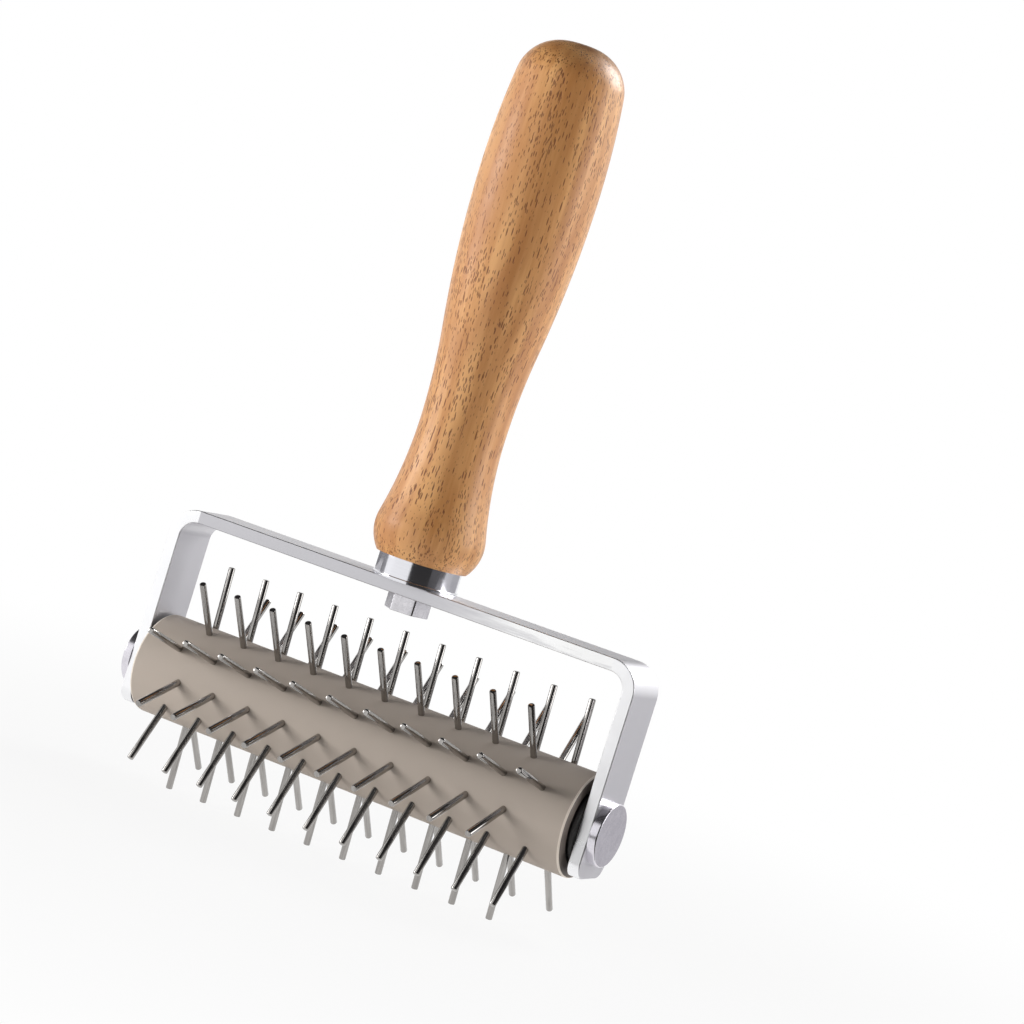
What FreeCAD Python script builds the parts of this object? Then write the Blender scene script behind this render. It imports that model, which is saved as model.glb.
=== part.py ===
import FreeCAD, Part
import math
import os
import re

import Sketcher

# A dough docker: a wooden handle on a bent strap that carries a spiked roller.
# X runs along the roller, Y from front to back, Z up the handle.
# The origin lies under the middle of the roller, level with the lowest pin tip.
# Lengths are in millimetres and angles in degrees.

SIZES = {
    # spiked roller
    "tip_radius": 27.5,
    "drum_diameter": 24.6,
    "drum_margin": 9.5,
    "drum_bore": 12.6,
    "drum_edge": 0.6,
    "cap_seat_diameter": 19.0,
    "cap_seat_depth": 7.0,
    "cap_inset": 2.5,
    "pin_diameter": 1.6,
    "pin_depth": 5.0,
    "pin_tip_edge": 0.25,
    "pin_offset": 3.4,
    "pin_pitch": 10.0,
    "row_shift": 0.85,
    "row_count": 10,
    "long_row_pins": 11,
    "short_row_pins": 10,
    "roller_phase": 3.4,
    # axle and bearings
    "axle_diameter": 10.0,
    "axle_edge": 0.5,
    "bush_diameter": 14.0,
    "bush_proud": 0.2,
    "washer_diameter": 18.0,
    "washer_thickness": 0.8,
    "end_play": 0.2,
    "axle_thread_diameter": 6.0,
    "axle_thread_depth": 14.0,
    "axle_screw_grip": 12.0,
    "axle_head_diameter": 15.0,
    "axle_head_height": 2.1,
    "axle_head_edge": 0.35,
    # bent strap
    "strap_width": 14.3,
    "strap_thickness": 3.0,
    "yoke_reach": 35.6,
    "arm_tail": 10.9,
    "arm_corner_radius": 3.5,
    "bend_radius": 4.0,
    "strap_edge": 0.25,
    # collar under the handle
    "ferrule_diameter": 20.0,
    "ferrule_height": 5.4,
    "ferrule_wall": 1.0,
    "ferrule_floor": 1.2,
    "ferrule_lip_height": 0.8,
    "ferrule_lip_width": 0.3,
    # wooden handle
    "handle_length": 125.0,
    "foot_diameter": 26.4,
    "foot_height": 6.5,
    "foot_curve": 10.4,
    "waist_diameter": 20.4,
    "waist_height": 32.5,
    "waist_sweep_share": 0.36,
    "belly_diameter": 28.6,
    "belly_drop": 32.6,
    "belly_sweep": 198.0,
    "shoulder_radius": 10.4,
    # bolt and insert that hold the handle
    "bolt_diameter": 6.0,
    "bolt_grip": 12.0,
    "bolt_head_width": 9.5,
    "bolt_head_height": 4.0,
    "bolt_head_turn": 13.5,
    "insert_diameter": 9.5,
    "insert_length": 14.0,
    # shape of a hexagon screw
    "head_chamfer_angle": 30.0,
    "head_face_share": 0.96,
    "shank_edge_share": 0.1,
    # fits
    "running_clearance": 0.05,
    "seat_clearance": 0.02,
    "screw_clearance": 0.2,
    "cut_overrun": 2.0,
}

# Sizes that follow from those above. Levels are heights above the roller's axis,
# and the handle's centres and leads are measured across from its own axis.
DERIVED = {
    "pin_reach": "sqrt(tip_radius^2 - pin_offset^2)",
    "lowest_side": "pin_offset + pin_diameter / 2 - pin_tip_edge",
    "axis_height": "pin_reach * cos(roller_phase) + lowest_side * sin(roller_phase)",
    "row_angle": "360 / row_count",
    "drum_radius": "drum_diameter / 2",
    "drum_end": "(long_row_pins - 1) * pin_pitch / 2 + drum_margin",
    "cap_seat_radius": "cap_seat_diameter / 2",
    "cap_floor": "drum_end - cap_seat_depth",
    "pin_radius": "pin_diameter / 2",
    "pin_root": "drum_radius - pin_depth",
    "axle_radius": "axle_diameter / 2",
    "bush_radius": "bush_diameter / 2",
    "bearing_radius": "axle_radius + running_clearance",
    "tapped_radius": "axle_thread_diameter / 2 + seat_clearance",
    "arm_inside": "drum_end + bush_proud + end_play + washer_thickness",
    "arm_outside": "arm_inside + strap_thickness",
    "tapped_end": "arm_inside - axle_thread_depth",
    "axle_screw_end": "arm_inside - axle_screw_grip",
    "axle_head_face": "arm_outside + axle_head_height",
    "strap_top": "yoke_reach + strap_thickness",
    "ferrule_radius": "ferrule_diameter / 2",
    "ferrule_bore": "ferrule_radius - ferrule_wall",
    "ferrule_lip": "strap_top + ferrule_lip_height",
    "bolt_hole": "bolt_diameter / 2 + screw_clearance",
    "tenon_radius": "ferrule_bore - seat_clearance",
    "tenon_level": "strap_top + ferrule_floor",
    "insert_top": "tenon_level + insert_length",
    "socket_radius": "insert_diameter / 2 + seat_clearance",
    "foot_plane": "strap_top + ferrule_height",
    "foot_level": "foot_plane + foot_height",
    "foot_centre": "foot_diameter / 2 - foot_curve",
    "foot_edge": "foot_centre + sqrt(foot_curve^2 - foot_height^2)",
    "waist_radius": "waist_diameter / 2",
    "waist_level": "foot_plane + waist_height",
    "neck_lead": "waist_radius - foot_centre",
    "neck_rise": "waist_height - foot_height",
    "neck_sweep": "(neck_lead^2 + neck_rise^2 - foot_curve^2) / (2 * (foot_curve - neck_lead))",
    "neck_centre": "waist_radius + neck_sweep",
    "belly_radius": "belly_diameter / 2",
    "handle_top": "foot_plane + handle_length",
    "belly_level": "handle_top - belly_drop",
    "belly_centre": "belly_radius - belly_sweep",
    "breast_step": "belly_radius - waist_radius",
    "breast_rise": "belly_level - waist_level",
    "side_sweep": "(breast_rise^2 + breast_step^2) / (2 * breast_step)",
    "waist_sweep": "side_sweep * waist_sweep_share",
    "waist_centre": "waist_radius + waist_sweep",
    "breast_sweep": "side_sweep - waist_sweep",
    "breast_centre": "belly_radius - breast_sweep",
    "shoulder_level": "handle_top - shoulder_radius",
    "shoulder_rise": "shoulder_level - belly_level",
    "shoulder_centre": "belly_centre + sqrt((belly_sweep - shoulder_radius)^2 - shoulder_rise^2)",
}

# How close a measured edge has to come to the size it is picked by.
TOUCH = 0.001

# The sides of a hexagon.
HEX_SIDES = range(6)

# The numbers by which a sketch knows the points of a curve, its own axes and its origin.
START, END, CENTRE = range(1, 4)
ACROSS_AXIS, UP_AXIS = range(-1, -3, -1)
ORIGIN = (ACROSS_AXIS, START)

FLAT_NORMAL = FreeCAD.Vector(0, 0, 1)


def tie(text):
    """Point every size named in a formula at its cell in the sheet."""

    def cell(match):
        word = match[0]
        if word in DERIVED:
            return "(" + tie(DERIVED[word]) + ")"
        return "Sizes." + word if word in SIZES else word

    return re.sub(r"[a-z]\w*", cell, text)


def number(text):
    """The value of a formula."""
    return float(sheet.evalExpression(tie(text)))


def near(value, text):
    """Whether a measured value comes to a formula."""
    return abs(value - number(text)) < TOUCH


def bind(thing, name, text):
    """Let a property of an object follow a formula."""
    thing.setExpression(name, tie(text))


def placed(across="0", up="0", axis="0; 0; 1", angle="0"):
    """Formula for a placement: a spot above the roller's axis, and a turn about an axis."""
    return f"placement(vector({across}; 0; axis_height + {up}); rotation(vector({axis}); {angle}))"


def roller_place(steps=0):
    """Formula for the placement of a piece of the roller, turned on by so many rows of pins."""
    return placed(axis="1; 0; 0", angle=f"{steps} * row_angle + roller_phase")


def new_body(label, place):
    """An empty body with a label and a placement of its own."""
    body = doc.addObject("PartDesign::Body", label)
    body.Label = label
    bind(body, "Placement", place)
    return body


def new_sketch(body, name, role):
    """An empty sketch on one of the body's own origin planes."""
    sketch = body.newObject("Sketcher::SketchObject", body.Label + "_" + name)
    plane = next(feature for feature in body.Origin.OriginFeatures if feature.Role == role)
    sketch.AttachmentSupport = [(plane, "")]
    sketch.MapMode = "FlatFace"
    return sketch


def limit(sketch, kind, *where):
    """Add a constraint that has no size, such as two ends that meet."""
    return sketch.addConstraint(Sketcher.Constraint(kind, *where))


def hold(sketch, kind, *where, size):
    """Add a constraint whose size follows a formula."""
    place = limit(sketch, kind, *where, number(size))
    bind(sketch, f"Constraints[{place}]", size)


def hold_point(sketch, curve, end, across, up):
    """Hold one point of a curve at two formulas, measured from the sketch's origin."""
    point = (curve, end)
    for kind, axis, text in (("DistanceX", UP_AXIS, across), ("DistanceY", ACROSS_AXIS, up)):
        if text == "0":
            limit(sketch, "PointOnObject", *point, axis)
        elif number(text) < 0:
            hold(sketch, kind, *point, *ORIGIN, size=f"-({text})")
        else:
            hold(sketch, kind, *ORIGIN, *point, size=text)


def spot(across, up):
    """A point of a sketch from two formulas."""
    return FreeCAD.Vector(number(across), number(up), 0)


def chain(sketch, points):
    """Straight lines through points, each joined to the next."""
    lines = [sketch.addGeometry(Part.LineSegment(*pair)) for pair in zip(points, points[1:])]
    for line, following in zip(lines, lines[1:]):
        limit(sketch, "Coincident", line, END, following, START)
    return lines


def outline(sketch, corners):
    """A closed outline of straight lines, its corners given as pairs of formulas."""
    points = [spot(*corner) for corner in corners]
    lines = chain(sketch, points + points[:1])
    limit(sketch, "Coincident", lines[-1], END, lines[0], START)
    for line, corner in zip(lines, corners):
        hold_point(sketch, line, START, *corner)


def circle(sketch, radius):
    """A circle about the sketch's origin."""
    curve = sketch.addGeometry(Part.Circle(spot("0", "0"), FLAT_NORMAL, number(radius)))
    limit(sketch, "Coincident", curve, CENTRE, *ORIGIN)
    hold(sketch, "Radius", curve, size=radius)


def settle(body, feature):
    """Recompute, and make sure that a feature that cuts has taken something away."""
    before = feature.BaseFeature
    doc.recompute()
    cuts = feature.TypeId in ("PartDesign::Pocket", "PartDesign::Groove")
    if cuts and feature.Shape.Volume >= before.Shape.Volume:
        raise RuntimeError(f"{feature.Name} cuts nothing from {body.Label}")
    return feature


def spin(body, sketch, axis, kind="Revolution"):
    """Turn a sketch about one of its own axes, to add to the body or, as a groove, to cut it."""
    feature = body.newObject("PartDesign::" + kind, f"{sketch.Name}_{kind}")
    feature.Profile = sketch
    feature.ReferenceAxis = (sketch, [axis])
    feature.Angle = 360
    return settle(body, feature)


def extrude(body, sketch, kind, length, side="One side", reverse=False):
    """Pad a sketch, or cut it out of the body as a pocket."""
    feature = body.newObject("PartDesign::" + kind, f"{sketch.Name}_{kind}")
    feature.Profile = sketch
    feature.SideType = side
    feature.Reversed = reverse
    bind(feature, "Length", length)
    return settle(body, feature)


def round_edges(body, name, radius, wanted):
    """Round those edges of a body that pass a test."""
    base = body.Tip
    names = [f"Edge{place}" for place, edge in enumerate(base.Shape.Edges, start=1) if wanted(edge)]
    feature = body.newObject("PartDesign::Fillet", f"{body.Label}_{name}")
    feature.Base = (base, names)
    bind(feature, "Radius", radius)
    return settle(body, feature)


def turned(label, axis, corners, place):
    """A piece turned about X (H_Axis) or Z (V_Axis), from corners in the plane of the two."""
    body = new_body(label, place)
    sketch = new_sketch(body, "Profile", "XZ_Plane")
    outline(sketch, corners)
    spin(body, sketch, axis)
    return body


def ring(label, inner, outer, near_end, far_end, place):
    """A plain ring about the roller's axis, between two places along it."""
    corners = [(near_end, inner), (near_end, outer), (far_end, outer), (far_end, inner)]
    return turned(label, "H_Axis", corners, place)


def row_start(row):
    """Formula for the place of a row's first pin: odd rows are long, even rows short."""
    if row % 2:
        return "row_shift - (long_row_pins - 1) * pin_pitch / 2"
    return "-row_shift - (short_row_pins - 1) * pin_pitch / 2"


def pin_sketch(body, row, steps, corners):
    """A sketch on the line of a row's first pin, beside the axis and turned on by so many rows."""
    sketch = new_sketch(body, f"Pin{row}", "XZ_Plane")
    angle = f"{steps} * row_angle"
    beside = f"vector({row_start(row)}; pin_offset * sin({angle}); -pin_offset * cos({angle}))"
    bind(sketch, "AttachmentOffset", f"placement({beside}; rotation(vector(1; 0; 0); {angle}))")
    outline(sketch, corners)
    return sketch


def row_pattern(body, sketch, row):
    """A pattern along the roller with the pins of one row."""
    pattern = body.newObject("PartDesign::LinearPattern", f"{sketch.Name}_Row")
    pattern.Direction = (sketch, ["H_Axis"])
    pins = "long_row_pins" if row % 2 else "short_row_pins"
    bind(pattern, "Length", f"({pins} - 1) * pin_pitch")
    bind(pattern, "Occurrences", pins)
    return pattern


def make_pin_row(row):
    """One straight row of steel pins, blunt at the tip."""
    body = new_body(f"pin_row_{row:02d}", roller_place(row - 1))
    sketch = pin_sketch(body, row, 0, [
        ("0", "pin_root"),
        ("pin_radius", "pin_root"),
        ("pin_radius", "pin_reach - pin_tip_edge"),
        ("pin_radius - pin_tip_edge", "pin_reach"),
        ("0", "pin_reach"),
    ])
    pin = spin(body, sketch, "V_Axis")
    pattern = row_pattern(body, sketch, row)
    pattern.Originals = [pin]
    body.Tip = pattern
    doc.recompute()


def drill_rows(body, first):
    """The blind holes for every second row of pins, from the first row or the second."""
    sketch = pin_sketch(body, first, first - 1, [
        ("0", "pin_root"),
        ("pin_radius + seat_clearance", "pin_root"),
        ("pin_radius + seat_clearance", "drum_radius + cut_overrun"),
        ("0", "drum_radius + cut_overrun"),
    ])
    hole = spin(body, sketch, "V_Axis", "Groove")
    along = row_pattern(body, sketch, first)
    around = body.newObject("PartDesign::PolarPattern", f"{sketch.Name}_Round")
    around.Axis = (body.Origin.OriginFeatures[0], [""])
    around.Angle = 360
    bind(around, "Occurrences", "row_count / 2")
    holes = body.newObject("PartDesign::MultiTransform", f"{sketch.Name}_Holes")
    holes.Originals = [hole]
    holes.Transformations = [along, around]
    body.Tip = holes
    doc.recompute()


def make_drum():
    """The roller's body: bored through, with a seat in each end and a hole for every pin."""
    body = turned("drum", "H_Axis", [
        ("-drum_end", "cap_seat_radius"),
        ("-drum_end", "drum_radius"),
        ("drum_end", "drum_radius"),
        ("drum_end", "cap_seat_radius"),
        ("cap_floor", "cap_seat_radius"),
        ("cap_floor", "drum_bore / 2"),
        ("-(cap_floor)", "drum_bore / 2"),
        ("-(cap_floor)", "cap_seat_radius"),
    ], roller_place())
    round_edges(body, "Rim", "drum_edge", lambda edge: (
        isinstance(edge.Curve, Part.Circle) and near(edge.Curve.Radius, "drum_radius")))
    drill_rows(body, 1)
    drill_rows(body, 2)


def make_roller():
    """Everything that turns: drum, end caps, bushes and pins."""
    make_drum()
    for side, way in (("left", "-"), ("right", "")):
        seat = f"{way}(cap_floor)"
        ring(f"end_cap_{side}", "bush_radius + seat_clearance", "cap_seat_radius - seat_clearance",
             seat, f"{way}(drum_end - cap_inset)", roller_place())
        ring(f"bush_{side}", "bearing_radius", "bush_radius",
             seat, f"{way}(drum_end + bush_proud)", roller_place())
    for row in range(1, SIZES["row_count"] + 1):
        make_pin_row(row)


def hex_screw(label, place, width, height, turn, diameter, reach):
    """A hexagon screw with its head below its own origin and its shank along its own Z."""
    body = new_body(label, place)
    head = new_sketch(body, "Head", "XY_Plane")
    corner = f"{width} / (2 * cos(180 / {len(HEX_SIDES)}))"
    angles = [f"({turn} + {side} * 360 / {len(HEX_SIDES)})" for side in HEX_SIDES]
    outline(head, [(f"{corner} * cos{angle}", f"{corner} * sin{angle}") for angle in angles])
    extrude(body, head, "Pad", height, reverse=True)
    shank = new_sketch(body, "Shank", "XZ_Plane")
    radius = f"{diameter} / 2"
    edge = f"{diameter} * shank_edge_share"
    outline(shank, [
        ("0", "0"),
        (radius, "0"),
        (radius, f"{reach} - {edge}"),
        (f"{radius} - {edge}", reach),
        ("0", reach),
    ])
    spin(body, shank, "V_Axis")
    chamfer = new_sketch(body, "Chamfer", "XZ_Plane")
    face = f"{width} * head_face_share / 2"
    outer = f"({corner} + cut_overrun)"
    outline(chamfer, [
        (face, f"-{height}"),
        (outer, f"-{height}"),
        (outer, f"({outer} - {face}) * tan(head_chamfer_angle) - {height}"),
    ])
    spin(body, chamfer, "V_Axis", "Groove")


def axle_screw(label, way):
    """A screw into one end of the axle, with a low round head outside the arm."""
    thread = "axle_thread_diameter / 2"
    edge = "axle_thread_diameter * shank_edge_share"
    rim = "axle_head_diameter / 2"
    body = turned(label, "H_Axis", [
        (f"{way}(axle_screw_end)", "0"),
        (f"{way}(axle_screw_end)", f"{thread} - {edge}"),
        (f"{way}(axle_screw_end + {edge})", thread),
        (f"{way}(arm_outside)", thread),
        (f"{way}(arm_outside)", rim),
        (f"{way}(axle_head_face)", rim),
        (f"{way}(axle_head_face)", "0"),
    ], placed())
    round_edges(body, "HeadEdge", "axle_head_edge", lambda seam: (
        isinstance(seam.Curve, Part.Circle) and near(seam.Curve.Radius, rim)
        and near(seam.CenterOfMass.x, f"{way}(axle_head_face)")))


def make_axle():
    """The axle between the arms: a tapped rod, a screw through each arm and two washers."""
    turned("axle_rod", "H_Axis", [
        ("-(arm_inside)", "tapped_radius"),
        ("-(arm_inside)", "axle_radius - axle_edge"),
        ("axle_edge - arm_inside", "axle_radius"),
        ("arm_inside - axle_edge", "axle_radius"),
        ("arm_inside", "axle_radius - axle_edge"),
        ("arm_inside", "tapped_radius"),
        ("tapped_end", "tapped_radius"),
        ("tapped_end", "0"),
        ("-(tapped_end)", "0"),
        ("-(tapped_end)", "tapped_radius"),
    ], placed())
    for side, way in (("left", "-"), ("right", "")):
        axle_screw(f"axle_screw_{side}", way)
        ring(f"thrust_washer_{side}", "bearing_radius", "washer_diameter / 2",
             f"{way}(arm_inside - washer_thickness)", f"{way}(arm_inside)", placed())


def make_yoke():
    """The flat strap, bent twice into a yoke, with rounded arm ends and three holes."""
    body = new_body("yoke_frame", placed())
    side = new_sketch(body, "Side", "XZ_Plane")
    outline(side, [
        ("-(arm_outside)", "-arm_tail"),
        ("-(arm_outside)", "strap_top"),
        ("arm_outside", "strap_top"),
        ("arm_outside", "-arm_tail"),
        ("arm_inside", "-arm_tail"),
        ("arm_inside", "yoke_reach"),
        ("-(arm_inside)", "yoke_reach"),
        ("-(arm_inside)", "-arm_tail"),
    ])
    extrude(body, side, "Pad", "strap_width", "Symmetric")

    def bend(level):
        return lambda edge: near(edge.Length, "strap_width") and near(edge.CenterOfMass.z, level)

    round_edges(body, "InnerBend", "bend_radius", bend("yoke_reach"))
    round_edges(body, "OuterBend", "bend_radius + strap_thickness", bend("strap_top"))
    round_edges(body, "ArmEnd", "arm_corner_radius", lambda edge: (
        near(edge.Length, "strap_thickness") and near(edge.CenterOfMass.z, "-arm_tail")))
    round_edges(body, "Edge", "strap_edge", lambda edge: edge.Length > number("arm_inside"))
    bolt_hole = new_sketch(body, "BoltHole", "XY_Plane")
    circle(bolt_hole, "bolt_hole")
    extrude(body, bolt_hole, "Pocket", "2 * (strap_top + cut_overrun)", "Symmetric")
    axle_holes = new_sketch(body, "AxleHoles", "YZ_Plane")
    circle(axle_holes, "axle_thread_diameter / 2 + screw_clearance")
    extrude(body, axle_holes, "Pocket", "2 * (arm_outside + cut_overrun)", "Symmetric")


def make_ferrule():
    """The metal cup that the handle's tenon stands in, with a low lip round its foot."""
    turned("ferrule", "V_Axis", [
        ("bolt_hole", "strap_top"),
        ("ferrule_radius + ferrule_lip_width", "strap_top"),
        ("ferrule_radius + ferrule_lip_width", "ferrule_lip"),
        ("ferrule_radius", "ferrule_lip"),
        ("ferrule_radius", "foot_plane"),
        ("ferrule_bore", "foot_plane"),
        ("ferrule_bore", "tenon_level"),
        ("bolt_hole", "tenon_level"),
    ], placed())


def side_arc(sketch, centre, radius, low, high, hollow):
    """An arc of the handle's side from its lower end to its upper one, hollow or full."""
    ends = (high, low) if hollow else (low, high)
    first, last = [math.atan2(end.y - centre.y, end.x - centre.x) for end in ends]
    if last < first:
        last += 2 * math.pi
    return sketch.addGeometry(Part.ArcOfCircle(Part.Circle(centre, FLAT_NORMAL, radius), first, last))


def make_handle():
    """The turned handle: six arcs up its side, a tenon at its foot and a socket for the insert."""
    body = new_body("handle", placed())
    sketch = new_sketch(body, "Profile", "XZ_Plane")
    names = ["foot", "neck", "waist", "breast", "belly", "shoulder"]
    hollow = [False, True, True, False, False, False]
    levels = ["foot_level", "waist_level", "waist_level", "belly_level", "belly_level", "shoulder_level"]
    radii = ["foot_curve", "neck_sweep", "waist_sweep", "breast_sweep", "belly_sweep", "shoulder_radius"]
    centres = [spot(f"{name}_centre", level) for name, level in zip(names, levels)]

    def touch(lower):
        way = centres[lower + 1] - centres[lower]
        return centres[lower] + way.normalize() * number(radii[lower])

    joints = [
        spot("foot_edge", "foot_plane"),
        touch(0),
        spot("waist_radius", "waist_level"),
        touch(2),
        spot("belly_radius", "belly_level"),
        touch(4),
        spot("shoulder_centre", "handle_top"),
    ]
    foot, neck, waist, breast, belly, shoulder = [
        side_arc(sketch, centre, number(radius), low, high, bent)
        for centre, radius, low, high, bent in zip(centres, radii, joints, joints[1:], hollow)]
    corners = [
        ("0", "handle_top"),
        ("0", "insert_top"),
        ("socket_radius", "insert_top"),
        ("socket_radius", "tenon_level"),
        ("tenon_radius", "tenon_level"),
        ("tenon_radius", "foot_plane"),
    ]
    lines = chain(sketch, joints[-1:] + [spot(*corner) for corner in corners] + joints[:1])
    for line, corner in zip(lines[1:], corners):
        hold_point(sketch, line, START, *corner)
    limit(sketch, "Horizontal", lines[0])
    limit(sketch, "Horizontal", lines[-1])
    limit(sketch, "Coincident", lines[-1], END, foot, START)
    limit(sketch, "Tangent", foot, END, neck, END)
    limit(sketch, "Coincident", neck, START, waist, END)
    limit(sketch, "Tangent", waist, START, breast, START)
    limit(sketch, "Coincident", breast, END, belly, START)
    limit(sketch, "Tangent", belly, END, shoulder, START)
    limit(sketch, "Tangent", shoulder, END, lines[0], START)
    hold_point(sketch, foot, CENTRE, "foot_centre", "foot_level")
    hold_point(sketch, neck, START, "waist_radius", "waist_level")
    hold_point(sketch, breast, END, "belly_radius", "belly_level")
    for curve, level in ((neck, "waist_level"), (waist, "waist_level"),
                         (breast, "belly_level"), (belly, "belly_level")):
        hold(sketch, "DistanceY", *ORIGIN, curve, CENTRE, size=level)
    for curve, radius in ((foot, "foot_curve"), (waist, "waist_sweep"),
                          (belly, "belly_sweep"), (shoulder, "shoulder_radius")):
        hold(sketch, "Radius", curve, size=radius)
    spin(body, sketch, "V_Axis")


def make_grip():
    """What the hand holds and what fastens it: handle, insert, ferrule and bolt."""
    make_handle()
    make_ferrule()
    thread = "bolt_diameter / 2 + seat_clearance"
    turned("handle_insert", "V_Axis", [
        (thread, "tenon_level"),
        ("insert_diameter / 2", "tenon_level"),
        ("insert_diameter / 2", "insert_top"),
        (thread, "insert_top"),
    ], placed())
    hex_screw("handle_bolt", placed(up="yoke_reach"), "bolt_head_width", "bolt_head_height",
              "bolt_head_turn", "bolt_diameter", "strap_thickness + ferrule_floor + bolt_grip")


def check_document(bodies):
    """Stop if an object failed to compute or a piece has no sound shape."""
    failed = [thing.Name for thing in doc.Objects if {"Invalid", "Error"} & set(thing.State)]
    unsound = [body.Label for body in bodies if body.Shape.isNull() or not body.Shape.isValid()]
    if failed or unsound:
        raise RuntimeError(f"failed objects: {failed}, unsound shapes: {unsound}")


doc = FreeCAD.newDocument("dough_docker")
sheet = doc.addObject("Spreadsheet::Sheet", "Sizes")
for line, (alias, size) in enumerate(SIZES.items(), start=1):
    sheet.set(f"A{line}", alias)
    sheet.set(f"B{line}", str(size))
    sheet.setAlias(f"B{line}", alias)
doc.recompute()

make_grip()
make_yoke()
make_axle()
make_roller()
doc.recompute()

pieces = [thing for thing in doc.Objects if thing.TypeId == "PartDesign::Body"]
check_document(pieces)
os.makedirs("parts", exist_ok=True)
for piece in pieces:
    piece.Shape.exportStep(f"parts/{piece.Label}.step")
    print(piece.Label, len(piece.Shape.Solids), round(piece.Shape.Volume))
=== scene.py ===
"""A dough docker: a turned wooden handle on a bent strap that carries a spiked roller.

Lengths are in metres, in the same frame as the solids: X along the roller, Y from front
to back and Z up the handle.
"""

import logging
import math
from dataclasses import dataclass, field
from enum import Enum

import bmesh
import bpy
from mathutils import Color, Euler, Matrix, Vector

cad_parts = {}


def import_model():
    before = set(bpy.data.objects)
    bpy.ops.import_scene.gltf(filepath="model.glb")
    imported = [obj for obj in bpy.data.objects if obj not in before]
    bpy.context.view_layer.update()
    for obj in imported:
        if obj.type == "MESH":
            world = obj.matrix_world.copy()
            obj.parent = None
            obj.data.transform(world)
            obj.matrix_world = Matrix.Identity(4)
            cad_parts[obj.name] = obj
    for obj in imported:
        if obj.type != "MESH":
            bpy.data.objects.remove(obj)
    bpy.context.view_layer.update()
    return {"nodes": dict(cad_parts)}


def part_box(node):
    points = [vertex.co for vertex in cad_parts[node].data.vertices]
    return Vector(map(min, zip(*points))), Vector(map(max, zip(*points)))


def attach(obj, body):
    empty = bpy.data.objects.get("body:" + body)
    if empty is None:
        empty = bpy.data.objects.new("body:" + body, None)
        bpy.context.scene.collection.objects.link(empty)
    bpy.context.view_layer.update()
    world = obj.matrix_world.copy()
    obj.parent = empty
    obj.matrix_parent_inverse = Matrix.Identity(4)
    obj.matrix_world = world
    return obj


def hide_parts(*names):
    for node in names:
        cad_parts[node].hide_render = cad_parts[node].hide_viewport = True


log = logging.getLogger("dough_docker")

Shade = tuple[int, int, int]
Pair = tuple[float, float]
Triple = tuple[float, float, float]
Node = bpy.types.Node
Socket = bpy.types.NodeSocket
Tree = bpy.types.NodeTree
Material = bpy.types.Material
Object = bpy.types.Object
Vert = bmesh.types.BMVert
Edge = bmesh.types.BMEdge
Face = bmesh.types.BMFace

MM = 0.001
MERGE_GAP = 0.0005 * MM
WHITE: Shade = (255, 255, 255)

# Angles between faces, in degrees: below the first they shade as one, above the second they form a corner.
SMOOTH_ANGLE = 32.0
CORNER_ANGLE = 60.0

# How the shared groups turn noise into clouds, specks and lines.
CLOUD_SPAN = (0.32, 0.68)
SPECK_SPAN = (0.66, 0.74)
SPECK_FINENESS = 14.0
LINE_SPAN = (0.34, 0.66)
LINE_FINENESS = 5.0
BROAD_SHARE = 0.6
NARROW_SHARE = 0.4


class Axis(Enum):
    """The line that a turned piece is spun about."""

    ROLLER = (1.0, 0.0, 0.0)
    HANDLE = (0.0, 0.0, 1.0)


class Carrier(Enum):
    """The body of the model that a piece moves with."""

    FRAME = "frame"
    ROLLER = "roller"


class Catch(Enum):
    """Which surfaces a lamp lights: whether matt ones do, and whether bright ones mirror it."""

    MATT = (True, False)
    GLOSS = (False, True)


class Side(Enum):
    """An end of the roller, by the sign of X there."""

    LEFT = -1
    RIGHT = 1


def linear(shade: Shade) -> list[float]:
    """The linear colour, with an alpha of 1, of a shade that a screen shows."""
    colour = Color([part / 255 for part in shade]).from_srgb_to_scene_linear()
    return [*colour, 1.0]


def only(kind: type, parts: list) -> list:
    """Those parts of an operator's result that are of one kind."""
    return [part for part in parts if isinstance(part, kind)]


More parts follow.
